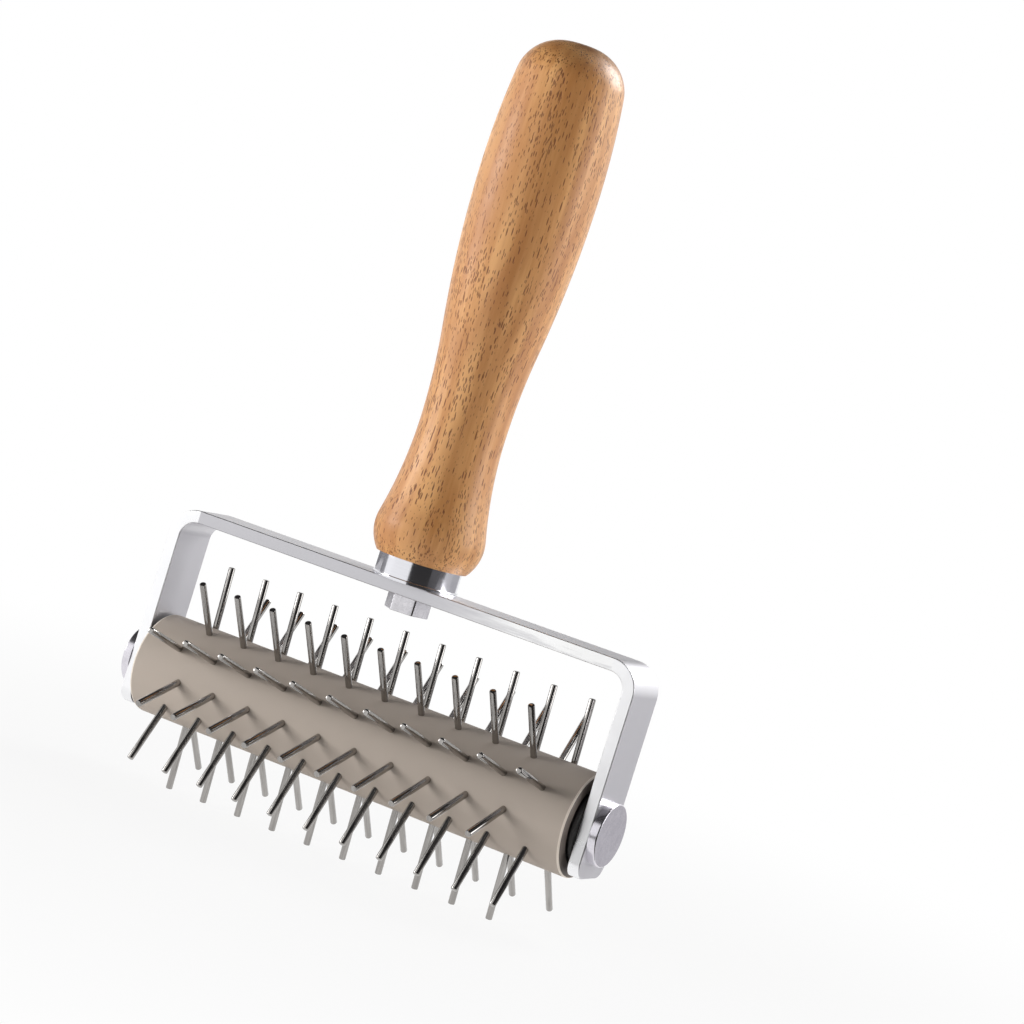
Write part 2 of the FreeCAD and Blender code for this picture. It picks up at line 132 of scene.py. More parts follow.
class NodeSheet:
    """A node tree, with short ways to add nodes to it and to link them."""

    def __init__(self, tree: Tree) -> None:
        """Start on the tree of a material, a world or a group, and empty it."""
        self.tree = tree
        self.tree.nodes.clear()

    def add(self, kind: str, settings: dict[str, object] | None = None, **inputs: object) -> Node:
        """Add a node.

        Args:
            kind: The node's type name in Blender.
            settings: Properties of the node itself.
            inputs: What its sockets are fed with, as for fill.

        Returns:
            The new node.
        """
        node = self.tree.nodes.new(kind)
        for name, value in (settings or {}).items():
            setattr(node, name, value)
        self.fill(node, **inputs)
        return node

    def fill(self, node: Node, **inputs: object) -> None:
        """Feed a node's sockets, given by name with underscores for spaces."""
        for name, value in inputs.items():
            self.feed(node.inputs[name.replace("_", " ")], value)

    def join(self, kind: str, settings: dict[str, object], *terms: object) -> Node:
        """Add a node whose sockets are fed in their own order.

        Args:
            kind: The node's type name in Blender.
            settings: Properties of the node itself.
            terms: Values or other sockets.

        Returns:
            The new node.
        """
        node = self.add(kind, settings)
        for socket, term in zip(node.inputs, terms):
            self.feed(socket, term)
        return node

    def feed(self, socket: Socket, value: object) -> None:
        """Give a socket a value, or link another socket to it.

        Args:
            socket: The socket to feed.
            value: A plain value or another socket.
        """
        if isinstance(value, Socket):
            self.tree.links.new(value, socket)
        else:
            socket.default_value = value

    def math(self, operation: str, *terms: object) -> Socket:
        """The result of a sum of numbers or sockets, such as MAXIMUM."""
        return self.join("ShaderNodeMath", {"operation": operation}, *terms).outputs[0]

    def times(self, value: Socket, factor: object) -> Socket:
        """The product of a value and a number or another value."""
        return self.math("MULTIPLY", value, factor)

    def vector(self, operation: str, *terms: object) -> Node:
        """A sum of vectors or sockets, such as LENGTH, with a vector and a value as outputs."""
        return self.join("ShaderNodeVectorMath", {"operation": operation}, *terms)

    def ramp(self, value: Socket, span: Pair, to: tuple[object, object]) -> Socket:
        """A value brought smoothly from a span to what the span's two ends turn into."""
        node = self.add("ShaderNodeMapRange", {"interpolation_type": "SMOOTHSTEP"}, Value=value,
                        From_Min=span[0], From_Max=span[1], To_Min=to[0], To_Max=to[1])
        return node.outputs[0]

    def blend(self, factor: Socket, first: object, second: object) -> Socket:
        """Mix two colours.

        Args:
            factor: How much of the second colour shows.
            first: A colour or a socket.
            second: A colour or a socket.

        Returns:
            The socket with the mixed colour.
        """
        node = self.add("ShaderNodeMix", {"data_type": "RGBA"})
        for place, value in ((0, factor), (6, first), (7, second)):
            self.feed(node.inputs[place], value)
        return node.outputs[2]

    def spread(self, scale: Triple = (1.0, 1.0, 1.0), turn: Triple = (0.0, 0.0, 0.0)) -> Socket:
        """Object coordinates, stretched and then turned.

        Args:
            scale: Pattern units for each metre along the three axes.
            turn: Angles about the three axes, in degrees.

        Returns:
            The socket with the coordinates.
        """
        place = self.add("ShaderNodeTexCoord").outputs["Object"]
        angles = [math.radians(angle) for angle in turn]
        return self.add("ShaderNodeMapping", Vector=place, Rotation=angles, Scale=scale).outputs[0]

    def noise(self, vector: Socket, scale: object, detail: float, roughness: float = 0.5) -> Socket:
        """Cloudy noise between 0 and 1, with finer layers that are as strong as the roughness."""
        node = self.add("ShaderNodeTexNoise", Vector=vector, Scale=scale, Detail=detail, Roughness=roughness)
        return node.outputs["Fac"]


def start_material(name: str) -> tuple[Material, NodeSheet]:
    """Make a material that has no nodes yet.

    Args:
        name: Its name.

    Returns:
        The material and the sheet for its nodes.
    """
    material = bpy.data.materials.new(name)
    material.use_nodes = True
    return material, NodeSheet(material.node_tree)


class SurfaceGroup(Enum):
    """The effects that several finishes share, each a node group that is built once."""

    MOTTLE = "cloudy_mottle"
    LINES = "drawn_lines"

    def tree(self) -> Tree:
        """Find the group, or build it the first time it is asked for.

        Returns:
            The group's node tree.
        """
        found = bpy.data.node_groups.get(self.value)
        if found:
            return found
        return self.build_mottle() if self is SurfaceGroup.MOTTLE else self.build_lines()

    def start(self, numbers: dict[str, float], results: list[str]) -> tuple[NodeSheet, Node, Node]:
        """Make an empty group that reads a vector and some numbers.

        Args:
            numbers: The numbers' default values by name.
            results: The names of the values that it gives.

        Returns:
            The group's sheet, its input node and its output node.
        """
        tree = bpy.data.node_groups.new(self.value, "ShaderNodeTree")
        tree.interface.new_socket(name="Vector", in_out="INPUT", socket_type="NodeSocketVector")
        for name, value in numbers.items():
            socket = tree.interface.new_socket(name=name, in_out="INPUT", socket_type="NodeSocketFloat")
            socket.default_value = value
        for name in results:
            tree.interface.new_socket(name=name, in_out="OUTPUT", socket_type="NodeSocketFloat")
        sheet = NodeSheet(tree)
        return sheet, sheet.add("NodeGroupInput"), sheet.add("NodeGroupOutput")

    def build_mottle(self) -> Tree:
        """Soft clouds with fine specks in them, as on plastic, lacquer and plated metal.

        Returns:
            The group's node tree.
        """
        sheet, given, made = self.start({"Size": 1.0, "Low": 0.0, "High": 1.0}, ["Value", "Specks"])
        place, size = given.outputs["Vector"], given.outputs["Size"]
        clouds = sheet.noise(place, size, detail=4.0, roughness=0.62)
        specks = sheet.noise(place, sheet.times(size, SPECK_FINENESS), detail=1.0)
        ends = (given.outputs["Low"], given.outputs["High"])
        sheet.fill(made, Value=sheet.ramp(clouds, CLOUD_SPAN, ends),
                   Specks=sheet.ramp(specks, SPECK_SPAN, (0.0, 1.0)))
        return sheet.tree

    def build_lines(self) -> Tree:
        """Fine lines as drawing, rolling or turning leaves them in metal.

        Returns:
            The group's node tree.
        """
        sheet, given, made = self.start({"Contrast": 0.5}, ["Tone"])
        place = given.outputs["Vector"]
        broad = sheet.noise(place, 1.0, detail=3.0, roughness=0.7)
        narrow = sheet.noise(place, LINE_FINENESS, detail=2.0, roughness=0.6)
        both = sheet.math("ADD", sheet.times(broad, BROAD_SHARE), sheet.times(narrow, NARROW_SHARE))
        swing = sheet.times(sheet.ramp(both, LINE_SPAN, (-0.5, 0.5)), given.outputs["Contrast"])
        sheet.fill(made, Tone=sheet.math("ADD", swing, 0.5))
        return sheet.tree


@dataclass(frozen=True)
class Finish:
    """What every finish has: a name, a pale and a deep tone, and how rough it is."""

    name: str
    pale: Shade
    deep: Shade
    rough: Pair

    def material(self) -> Material:
        """Find the finish's material, or make it the first time it is asked for.

        Returns:
            The material.
        """
        found = bpy.data.materials.get(self.name)
        if found:
            return found
        material, sheet = start_material(self.name)
        shader = sheet.add("ShaderNodeBsdfPrincipled")
        sheet.add("ShaderNodeOutputMaterial", Surface=shader.outputs[0])
        self.dress(sheet, shader)
        return material

    def dress(self, sheet: NodeSheet, shader: Node) -> None:
        """Feed the Principled shader of a material, as each kind of finish does it."""
        raise NotImplementedError

    def mottle(self, sheet: NodeSheet, size: float, ends: Pair) -> Node:
        """The mottle group's node, with the values of thin and thick places as its ends."""
        return sheet.add("ShaderNodeGroup", {"node_tree": SurfaceGroup.MOTTLE.tree()},
                         Vector=sheet.spread(), Size=size, Low=ends[0], High=ends[1])

    def bump(self, sheet: NodeSheet, shader: Node, height: Socket, depth: float) -> None:
        """Raise the surface by a height from 0 to 1, which stands out by the depth at 1."""
        node = sheet.add("ShaderNodeBump", Height=height, Distance=depth, Strength=1.0)
        sheet.fill(shader, Normal=node.outputs[0])


@dataclass(frozen=True)
class MetalFinish(Finish):
    """Bare or plated metal with fine lines in it."""

    lines: Triple
    contrast: float = 0.6
    cloud_size: float = 90.0
    # Painted light: a span of X over which the colour brightens, as if more light fell towards +X.
    painted_light_span: Pair | None = None
    painted_light_gain: float = 2.0

    def dress(self, sheet: NodeSheet, shader: Node) -> None:
        """Feed the shader with lined metal.

        Args:
            sheet: The material's nodes.
            shader: Its Principled BSDF.
        """
        group = sheet.add("ShaderNodeGroup", {"node_tree": SurfaceGroup.LINES.tree()},
                          Vector=sheet.spread(self.lines), Contrast=self.contrast)
        tone = group.outputs["Tone"]
        # Painted light: the tone grows along X where a span is given.
        if self.painted_light_span:
            tone = sheet.times(tone, self.along(sheet))
        clouds = self.mottle(sheet, self.cloud_size, self.rough)
        colour = sheet.blend(tone, linear(self.deep), linear(self.pale))
        sheet.fill(shader, Base_Color=colour, Metallic=1.0, Roughness=clouds.outputs["Value"])

    def along(self, sheet: NodeSheet) -> Socket:
        """How far painted light brightens the surface along X, from nothing to the gain."""
        across = sheet.add("ShaderNodeSeparateXYZ", Vector=sheet.spread())
        return sheet.ramp(across.outputs["X"], self.painted_light_span, (0.0, self.painted_light_gain))


@dataclass(frozen=True)
class MouldedFinish(Finish):
    """Moulded or painted plastic with faint clouds and a few specks."""

    specks: Shade
    speck_share: float = 0.25
    tint_size: float = 60.0
    rough_size: float = 220.0
    grain_size: float = 2600.0
    depth: float = 0.004 * MM

    def dress(self, sheet: NodeSheet, shader: Node) -> None:
        """Feed the shader with clouded plastic.

        Args:
            sheet: The material's nodes.
            shader: Its Principled BSDF.
        """
        tint = self.mottle(sheet, self.tint_size, (0.0, 1.0))
        rough = self.mottle(sheet, self.rough_size, self.rough)
        colour = sheet.blend(tint.outputs["Value"], linear(self.deep), linear(self.pale))
        share = sheet.times(rough.outputs["Specks"], self.speck_share)
        colour = sheet.blend(share, colour, linear(self.specks))
        sheet.fill(shader, Base_Color=colour, Roughness=rough.outputs["Value"])
        self.bump(sheet, shader, sheet.noise(sheet.spread(), self.grain_size, detail=2.0), self.depth)


@dataclass(frozen=True)
class PoreKind:
    """One kind of open pore in wood.

    The gap across the grain is in millimetres, and along it the pores lie further apart by
    the stretch. Between thin and crowded places the share of the gap that a pore fills goes
    from the first reach to the second, and late wood thins it.
    """

    gap: float
    stretch: float
    crowd: Pair
    reach: Pair
    thinning: float
    strength: float


@dataclass(frozen=True)
class WoodFinish(Finish):
    """Lacquered open-pored wood, its grain up the handle."""

    pore: Shade
    late: Shade
    late_share: float = 0.35
    pore_share: float = 0.82
    pore_rough: float = 0.2
    pore_depth: float = 0.07 * MM
    pore_rim: float = 0.08
    coat: float = 0.4
    coat_rough: float = 0.36
    cloud_size: float = 120.0
    grit_size: Triple = (1500.0, 1500.0, 420.0)
    grit_share: float = 0.5
    ring_step: float = 4.2
    ring_sway: float = 1.6
    ring_span: Pair = (0.1, 0.45)
    sway_size: Triple = (60.0, 60.0, 14.0)
    streak_size: Triple = (260.0, 260.0, 9.0)
    streak_span: Pair = (0.33, 0.67)
    crowd_size: Triple = (110.0, 110.0, 22.0)
    pith: Triple = (9.0, 46.0, 0.0)
    grain_turn: Triple = (1.6, -1.2, 0.0)
    dashes: PoreKind = PoreKind(0.60, 7.5, (0.36, 0.58), (0.21, 0.33), 0.3, 1.0)
    dots: PoreKind = PoreKind(0.44, 4.5, (0.42, 0.64), (0.38, 0.22), 0.3, 0.8)
    hairs: PoreKind = PoreKind(1.0, 22.0, (0.4, 0.62), (0.22, 0.1), 0.0, 0.7)

    def dress(self, sheet: NodeSheet, shader: Node) -> None:
        """Feed the shader with rings, streaks and pores.

        Args:
            sheet: The material's nodes.
            shader: Its Principled BSDF.
        """
        rings = self.rings(sheet)
        pores = self.pores(sheet, rings)
        colour = sheet.blend(self.streaks(sheet), linear(self.deep), linear(self.pale))
        colour = sheet.blend(sheet.times(rings, self.late_share), colour, linear(self.late))
        colour = sheet.blend(sheet.times(pores, self.pore_share), colour, linear(self.pore))
        clouds = self.mottle(sheet, self.cloud_size, self.rough)
        rough = sheet.math("ADD", clouds.outputs["Value"], sheet.times(pores, self.pore_rough))
        grit = sheet.noise(sheet.spread(self.grit_size, self.grain_turn), 1.0, detail=3.0, roughness=0.6)
        hollow = sheet.math("ADD", pores, sheet.times(grit, self.grit_share))
        sheet.fill(shader, Base_Color=colour, Roughness=rough, Coat_Weight=self.coat,
                   Coat_Roughness=self.coat_rough)
        self.bump(sheet, shader, sheet.math("SUBTRACT", 1.0, hollow), self.pore_depth)

    def rings(self, sheet: NodeSheet) -> Socket:
        """The dark late wood of the yearly rings, which lie round the pith.

        Args:
            sheet: The material's nodes.

        Returns:
            A socket that is 1 in late wood.
        """
        place = sheet.spread((1 / MM, 1 / MM, 1 / MM), self.grain_turn)
        away = sheet.vector("SUBTRACT", place, self.pith)
        flat = sheet.vector("MULTIPLY", away.outputs[0], (1.0, 1.0, 0.0))
        reach = sheet.vector("LENGTH", flat.outputs[0]).outputs["Value"]
        sway = sheet.noise(sheet.spread(self.sway_size), 1.0, detail=2.0)
        turns = sheet.math("DIVIDE", reach, self.ring_step)
        turns = sheet.math("ADD", turns, sheet.times(sway, self.ring_sway))
        return sheet.ramp(sheet.math("PINGPONG", turns, 0.5), self.ring_span, (0.0, 1.0))

    def streaks(self, sheet: NodeSheet) -> Socket:
        """Long faint streaks up the handle, from 0 to 1."""
        wide = sheet.noise(sheet.spread(self.streak_size, self.grain_turn), 1.0, detail=4.0, roughness=0.6)
        return sheet.ramp(wide, self.streak_span, (0.0, 1.0))

    def pores(self, sheet: NodeSheet, rings: Socket) -> Socket:
        """The open pores: dark dashes and longer hairlines along the grain, and dots.

        Args:
            sheet: The material's nodes.
            rings: How late the wood is.

        Returns:
            A socket that is 1 in a pore.
        """
        crowd = sheet.noise(sheet.spread(self.crowd_size, self.grain_turn), 1.0, detail=2.0)
        dashes, dots, hairs = (self.hollows(sheet, kind, crowd, rings)
                               for kind in (self.dashes, self.dots, self.hairs))
        return sheet.math("MAXIMUM", dashes, sheet.math("MAXIMUM", dots, hairs))

    def hollows(self, sheet: NodeSheet, kind: PoreKind, crowd: Socket, rings: Socket) -> Socket:
        """Long thin hollows of one kind, scattered through the wood.

        Args:
            sheet: The material's nodes.
            kind: How they lie.
            crowd: How crowded the pores are.
            rings: How late the wood is.

        Returns:
            A socket that has the kind's strength in a hollow.
        """
        across = 1.0 / (kind.gap * MM)
        place = sheet.spread((across, across, across / kind.stretch), self.grain_turn)
        cells = sheet.add("ShaderNodeTexVoronoi", {"feature": "F1"}, Vector=place, Scale=1.0, Randomness=1.0)
        thin = sheet.math("SUBTRACT", 1.0, sheet.times(rings, kind.thinning))
        reach = sheet.times(sheet.ramp(crowd, kind.crowd, kind.reach), thin)
        inside = sheet.math("SUBTRACT", reach, cells.outputs["Distance"])
        return sheet.ramp(inside, (0.0, self.pore_rim), (0.0, kind.strength))


WOOD = WoodFinish("lacquered_wood", (218, 162, 102), (186, 126, 70), (0.40, 0.52),
                  pore=(100, 48, 15), late=(168, 108, 56))
CHROME = MetalFinish("mirror_collar", (236, 236, 240), (222, 222, 228), (0.11, 0.16), (40, 40, 2600), 0.4)
STRAP = MetalFinish("satin_strap", (190, 188, 194), (178, 176, 182), (0.20, 0.26), (14, 1500, 14), 0.7)
# The strap's cut edges: partly their own brighter finish, partly a painted highlight that makes them render
# near white.
STRAP_EDGE = MetalFinish("strap_cut_edge_and_highlight", (252, 252, 253), (246, 246, 248), (0.26, 0.34), (60, 60, 60))
# Painted light: the top run's cut front edge is grey towards -X and brightens towards +X, a painted
# reflection gradient.
STRAP_RUN_PAINTED_LIGHT = MetalFinish("strap_run_cut_edge_painted_light", (253, 253, 253), (196, 195, 199), (0.28, 0.36),
                        (30, 400, 400), 0.5, painted_light_span=(0.004, 0.05))
ZINC = MetalFinish("plated_screws", (232, 229, 236), (218, 215, 222), (0.16, 0.24), (420, 420, 420), 0.8)
BOLT_ZINC = MetalFinish("plated_bolt", (236, 234, 238), (212, 210, 215), (0.18, 0.26), (420, 420, 420), 0.8)
PIN_STEEL = MetalFinish("drawn_pins", (178, 175, 172), (148, 145, 142), (0.07, 0.12), (1200, 50, 50), 0.8)
ROD_STEEL = MetalFinish("ground_rod", (200, 200, 202), (172, 172, 174), (0.22, 0.32), (2400, 60, 60), 0.7)
BRASS = MetalFinish("turned_brass", (222, 190, 122), (196, 160, 92), (0.25, 0.36), (60, 60, 2400), 0.7)
TAUPE = MouldedFinish("taupe_drum", (184, 172, 161), (177, 164, 153), (0.40, 0.50), (206, 198, 190))
# Painted highlight: the drum's rounded rims are paler, as if they caught the light.
RIM_PAINTED_HIGHLIGHT = MouldedFinish("drum_rim_painted_highlight", (226, 216, 204), (214, 203, 190), (0.40, 0.50), (236, 228, 220))
# Painted shade: the drum's end faces and the insides of its seats, darkened where the arms and the recess
# shade them.
END_PAINTED_SHADE = MouldedFinish("drum_end", (104, 95, 89), (90, 82, 77), (0.48, 0.58), (128, 119, 112))
CAP_BLACK = MouldedFinish("dark_caps", (52, 47, 44), (38, 34, 32), (0.50, 0.62), (70, 64, 60))
NYLON = MouldedFinish("black_nylon", (64, 63, 62), (50, 49, 48), (0.42, 0.55), (84, 82, 80))


class Workpiece:
    """A mesh on the bench: operators shape it, and it leaves as a finished object."""

    def __init__(self) -> None:
        """Start with nothing on the bench."""
        self.bm = bmesh.new()

    def point(self, across: float, up: float) -> Vert:
        """Set down a point of a profile, in the plane of X and Z."""
        return self.bm.verts.new((across, 0.0, up))

    def lines(self, start: Vert, *ends: Pair) -> Vert:
        """Draw straight lines of a profile, one after another.

        Args:
            start: The point that the first one leaves.
            ends: X and Z of each line's end.

        Returns:
            The point at the last end.
        """
        for across, up in ends:
            start = bmesh.ops.extrude_vert_indiv(self.bm, verts=[start])["verts"][0]
            start.co = (across, 0.0, up)
        return start

    def arc(self, start: Vert, centre: Pair, end: Pair, steps: int) -> Vert:
        """Draw an arc of a profile, by spinning a point.

        Args:
            start: The point that it leaves.
            centre: X and Z of its centre.
            end: X and Z of its end, less than half a turn on.
            steps: How many short lines it has.

        Returns:
            The point at its end.
        """
        hub = Vector((centre[0], 0.0, centre[1]))
        first, last = start.co - hub, Vector((end[0], 0.0, end[1])) - hub
        angle = math.atan2(first.z * last.x - first.x * last.z, first.dot(last))
        made = bmesh.ops.spin(self.bm, geom=[start], cent=hub, axis=(0, 1, 0), angle=angle, steps=steps)
        return only(Vert, made["geom_last"])[0]

    def lathe(self, axis: Axis, centre: Triple, steps: int) -> None:
        """Spin the whole profile once round.

        Args:
            axis: The line it is spun about.
            centre: A point of that line.
            steps: How many faces go round.
        """
        bmesh.ops.spin(self.bm, geom=self.bm.verts[:] + self.bm.edges[:], cent=centre, axis=axis.value,
                       angle=math.tau, steps=steps, use_merge=True)
        self.close()

    def close(self) -> None:
        """Merge doubled points, take out walls inside and turn every face outwards."""
        bmesh.ops.remove_doubles(self.bm, verts=self.bm.verts[:], dist=MERGE_GAP)
        bmesh.ops.dissolve_degenerate(self.bm, edges=self.bm.edges[:], dist=MERGE_GAP)
        inner = [face for face in self.bm.faces if all(len(edge.link_faces) > 2 for edge in face.edges)]
        bmesh.ops.delete(self.bm, geom=inner, context="FACES_ONLY")
        bmesh.ops.recalc_face_normals(self.bm, faces=self.bm.faces[:])

    def pull(self, face: Face, offset: Triple) -> Face:
        """Extrude a face.

        Args:
            face: The face to extrude.
            offset: Where its copy goes.

        Returns:
            The copy.
        """
        made = bmesh.ops.extrude_face_region(self.bm, geom=[face])["geom"]
        bmesh.ops.translate(self.bm, vec=offset, verts=only(Vert, made))
        return only(Face, made)[0]

    def bend(self, face: Face, centre: Triple, angle: float, steps: int) -> Face:
        """Extrude a face round a bend about Y, and give the face at the bend's end."""
        made = bmesh.ops.spin(self.bm, geom=[face], cent=centre, axis=(0, 1, 0), angle=angle, steps=steps)
        return only(Face, made["geom_last"])[0]

    def soften(self, edges: list[Edge], width: float, steps: int) -> None:
        """Round edges over by a width, in a number of steps."""
        bmesh.ops.bevel(self.bm, geom=edges, offset=width, offset_type="OFFSET", segments=steps,
                        profile=0.5, affect="EDGES", clamp_overlap=True, material=-1)

    def sharp(self, angle: float = CORNER_ANGLE) -> list[Edge]:
        """The edges whose faces meet at more than an angle, in degrees."""
        least = math.radians(angle)
        return [edge for edge in self.bm.edges if edge.is_manifold and edge.calc_face_angle() > least]

    def take_off(self, name: str, finishes: list[Finish], carrier: Carrier, slot: str, *nodes: str,
                 flat: bool = False) -> None:
        """Make the mesh an object that stands for nodes of the model.

        Args:
            name: The object's name.
            finishes: Its finishes, by material number.
            carrier: The body that it moves with.
            slot: Not used.
            nodes: The nodes that it stands for.
            flat: Whether broad faces stay flat up to their rounded edges.
        """
        mesh = bpy.data.meshes.new(name)
        for part in self.bm.faces:
            part.smooth = True
        self.bm.to_mesh(mesh)
        self.bm.free()
        mesh.set_sharp_from_angle(angle=math.radians(SMOOTH_ANGLE))
        for finish in finishes:
            mesh.materials.append(finish.material())
        made = bpy.data.objects.new(name, mesh)
        bpy.context.scene.collection.objects.link(made)
        if flat:
            made.modifiers.new("flat_faces", "WEIGHTED_NORMAL").keep_sharp = True
        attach(made, carrier.value)
        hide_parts(*nodes)
        log.info("%s: %d faces, moves with the %s", name, len(mesh.polygons), carrier.value)


@dataclass
class Levels:
    """Heights that several sub-assemblies share, read from the model."""

    axle: float
    strap_top: float
    foot_plane: float
    handle_top: float
    strap_thickness: float = 0.003

    @classmethod
    def read(cls) -> "Levels":
        """Read the heights off the model's own nodes.

        Returns:
            The heights.
        """
        rod_low, rod_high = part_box("axle_rod")
        collar_low, collar_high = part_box("ferrule")
        return cls(
            axle=(rod_low.z + rod_high.z) / 2,
            strap_top=collar_low.z,
            foot_plane=collar_high.z,
            handle_top=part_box("handle")[1].z,
        )

    @property
    def strap_under(self) -> float:
        """The strap's underside, where the bolt's head sits."""
        return self.strap_top - self.strap_thickness


@dataclass
class Handle:
    """The turned wooden handle with its tenon and the socket for the insert."""

    levels: Levels
    foot_diameter: float = 0.0264
    foot_height: float = 0.0065
    foot_curve: float = 0.0104
    waist_diameter: float = 0.0204
    waist_height: float = 0.0325
    waist_sweep_share: float = 0.36
    belly_diameter: float = 0.0286
    belly_drop: float = 0.0326
    belly_sweep: float = 0.198
    shoulder_radius: float = 0.0104
    tenon_radius: float = 0.00898
    socket_radius: float = 0.00477
    socket_depth: float = 0.014
    steps_round: int = 128
    arc_steps: tuple[int, ...] = (14, 14, 12, 16, 10, 18)

    def build(self) -> None:
        """Draw the side as six arcs and spin it."""
        work = Workpiece()
        foot, tenon = self.levels.foot_plane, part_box("handle")[0].z
        socket_top = tenon + self.socket_depth
        bulge = math.sqrt(self.foot_curve ** 2 - self.foot_height ** 2)
        foot_edge = self.foot_diameter / 2 - self.foot_curve + bulge
        place = work.lines(
            work.point(0.0, socket_top), (self.socket_radius, socket_top), (self.socket_radius, tenon),
            (self.tenon_radius, tenon), (self.tenon_radius, foot), (foot_edge, foot))
        for centre, end, steps in self.side():
            place = work.arc(place, centre, end, steps)
        work.lines(place, (0.0, self.levels.handle_top))
        work.lathe(Axis.HANDLE, (0, 0, 0), self.steps_round)
        work.take_off("turned_handle", [WOOD], Carrier.FRAME, "wood", "handle")

    def side(self) -> list[tuple[Vector, Vector, int]]:
        """The arcs up the side.

        Returns:
            Centre, end and number of steps of each arc.
        """
        foot = self.levels.foot_plane + self.foot_height
        waist = self.levels.foot_plane + self.waist_height
        belly = self.levels.handle_top - self.belly_drop
        shoulder = self.levels.handle_top - self.shoulder_radius
        waist_radius, belly_radius = self.waist_diameter / 2, self.belly_diameter / 2
        lead = waist_radius - self.foot_diameter / 2 + self.foot_curve
        neck_sweep = (lead ** 2 + (waist - foot) ** 2 - self.foot_curve ** 2) / (2 * (self.foot_curve - lead))
        step = belly_radius - waist_radius
        side_sweep = ((belly - waist) ** 2 + step ** 2) / (2 * step)
        waist_sweep = side_sweep * self.waist_sweep_share
        belly_centre = belly_radius - self.belly_sweep
        rise = shoulder - belly
        top_centre = belly_centre + math.sqrt((self.belly_sweep - self.shoulder_radius) ** 2 - rise ** 2)
        centres = [
            Vector((self.foot_diameter / 2 - self.foot_curve, foot)),
            Vector((waist_radius + neck_sweep, waist)),
            Vector((waist_radius + waist_sweep, waist)),
            Vector((belly_radius - side_sweep + waist_sweep, belly)),
            Vector((belly_centre, belly)),
            Vector((top_centre, shoulder)),
        ]
        ends = [
            centres[0] + (centres[1] - centres[0]).normalized() * self.foot_curve,
            Vector((waist_radius, waist)),
            centres[2] + (centres[3] - centres[2]).normalized() * waist_sweep,
            Vector((belly_radius, belly)),
            centres[4] + (centres[5] - centres[4]).normalized() * self.belly_sweep,
            Vector((top_centre, self.levels.handle_top)),
        ]
        return list(zip(centres, ends, self.arc_steps))


@dataclass
class Collar:
    """The bright metal cup under the handle, with a low lip round its foot."""

    levels: Levels
    radius: float = 0.010
    wall: float = 0.001
    floor: float = 0.0012
    lip_height: float = 0.0008
    lip_width: float = 0.0003
    bolt_hole: float = 0.0032
    rim: float = 0.00012
    rim_steps: int = 3
    steps_round: int = 96

    def build(self) -> None:
        """Draw the wall, spin it and take the edges off."""
        work = Workpiece()
        low, high = self.levels.strap_top, self.levels.foot_plane
        lip, inside = self.radius + self.lip_width, self.radius - self.wall
        ledge, floor = low + self.lip_height, low + self.floor
        first = work.point(self.bolt_hole, low)
        last = work.lines(first, (lip, low), (lip, ledge), (self.radius, ledge), (self.radius, high),
                          (inside, high), (inside, floor), (self.bolt_hole, floor))
        work.bm.edges.new((last, first))
        work.lathe(Axis.HANDLE, (0, 0, 0), self.steps_round)
        rims = [edge for edge in work.sharp() if edge.verts[0].co.xy.length > self.radius - self.wall / 2]
        work.soften(rims, self.rim, self.rim_steps)
        work.take_off("bright_collar", [CHROME], Carrier.FRAME, "chrome_collar", "ferrule", flat=True)


@dataclass
class Yoke:
    """The flat strap, bent twice into a yoke."""

    levels: Levels
    inside_width: float = 0.1214
    width: float = 0.0143
    bend_radius: float = 0.004
    tail: float = 0.0109
    corner: float = 0.0035
    edge: float = 0.00025
    cut_tilt: float = 0.3
    run_share: float = 0.25
    bend_steps: int = 12
    corner_steps: int = 8
    edge_steps: int = 4

    def build(self) -> None:
        """Pull a section up one arm, along the top and down the other arm."""
        work = Workpiece()
        half = self.inside_width / 2
        bottom = self.levels.axle - self.tail
        knee = self.levels.strap_under - self.bend_radius
        turn = half - self.bend_radius
        thickness = self.levels.strap_thickness
        section = bmesh.ops.create_grid(work.bm, x_segments=1, y_segments=1, size=0.5)["verts"]
        bmesh.ops.scale(work.bm, vec=(thickness, self.width, 1.0), verts=section)
        bmesh.ops.translate(work.bm, vec=(-half - thickness / 2, 0.0, bottom), verts=section)
        face = work.pull(work.bm.faces[:][0], (0.0, 0.0, knee - bottom))
        face = work.bend(face, (-turn, 0.0, knee), math.pi / 2, self.bend_steps)
        face = work.pull(face, (2 * turn, 0.0, 0.0))
        face = work.bend(face, (turn, 0.0, knee), math.pi / 2, self.bend_steps)
        work.pull(face, (0.0, 0.0, bottom - knee))
        work.close()
        self.round_off(work, bottom)
        work.take_off("bent_strap", [STRAP, STRAP_EDGE, STRAP_RUN_PAINTED_LIGHT], Carrier.FRAME, "satin_strap",
                      "yoke_frame", flat=True)

    def round_off(self, work: Workpiece, bottom: float) -> None:
        """Round the arms' corners and every long edge, and give the cut edges a brighter finish that is
        partly their own and partly a painted highlight, with a painted light gradient along the top run.

        Args:
            work: The strap on the bench.
            bottom: The level of the arms' ends.
        """
        ends = [edge for edge in work.sharp()
                if all(abs(vert.co.z - bottom) < self.edge for vert in edge.verts)
                and abs(edge.verts[0].co.x - edge.verts[1].co.x) > self.levels.strap_thickness / 2]
        work.soften(ends, self.corner, self.corner_steps)
        work.soften(work.sharp(), self.edge, self.edge_steps)
        bmesh.ops.recalc_face_normals(work.bm, faces=work.bm.faces[:])
        run_level, run_reach = self.levels.strap_under - self.edge, self.inside_width * self.run_share
        # Cut edges get a brighter finish that is partly a painted highlight; the top run's front edge gets
        # the painted light gradient.
        for face in work.bm.faces:
            middle = face.calc_center_median()
            if abs(face.normal.y) > self.cut_tilt or middle.z < bottom + self.edge / 2:
                on_run = middle.z > run_level and abs(middle.x) < run_reach
                face.material_index = 2 if on_run else 1


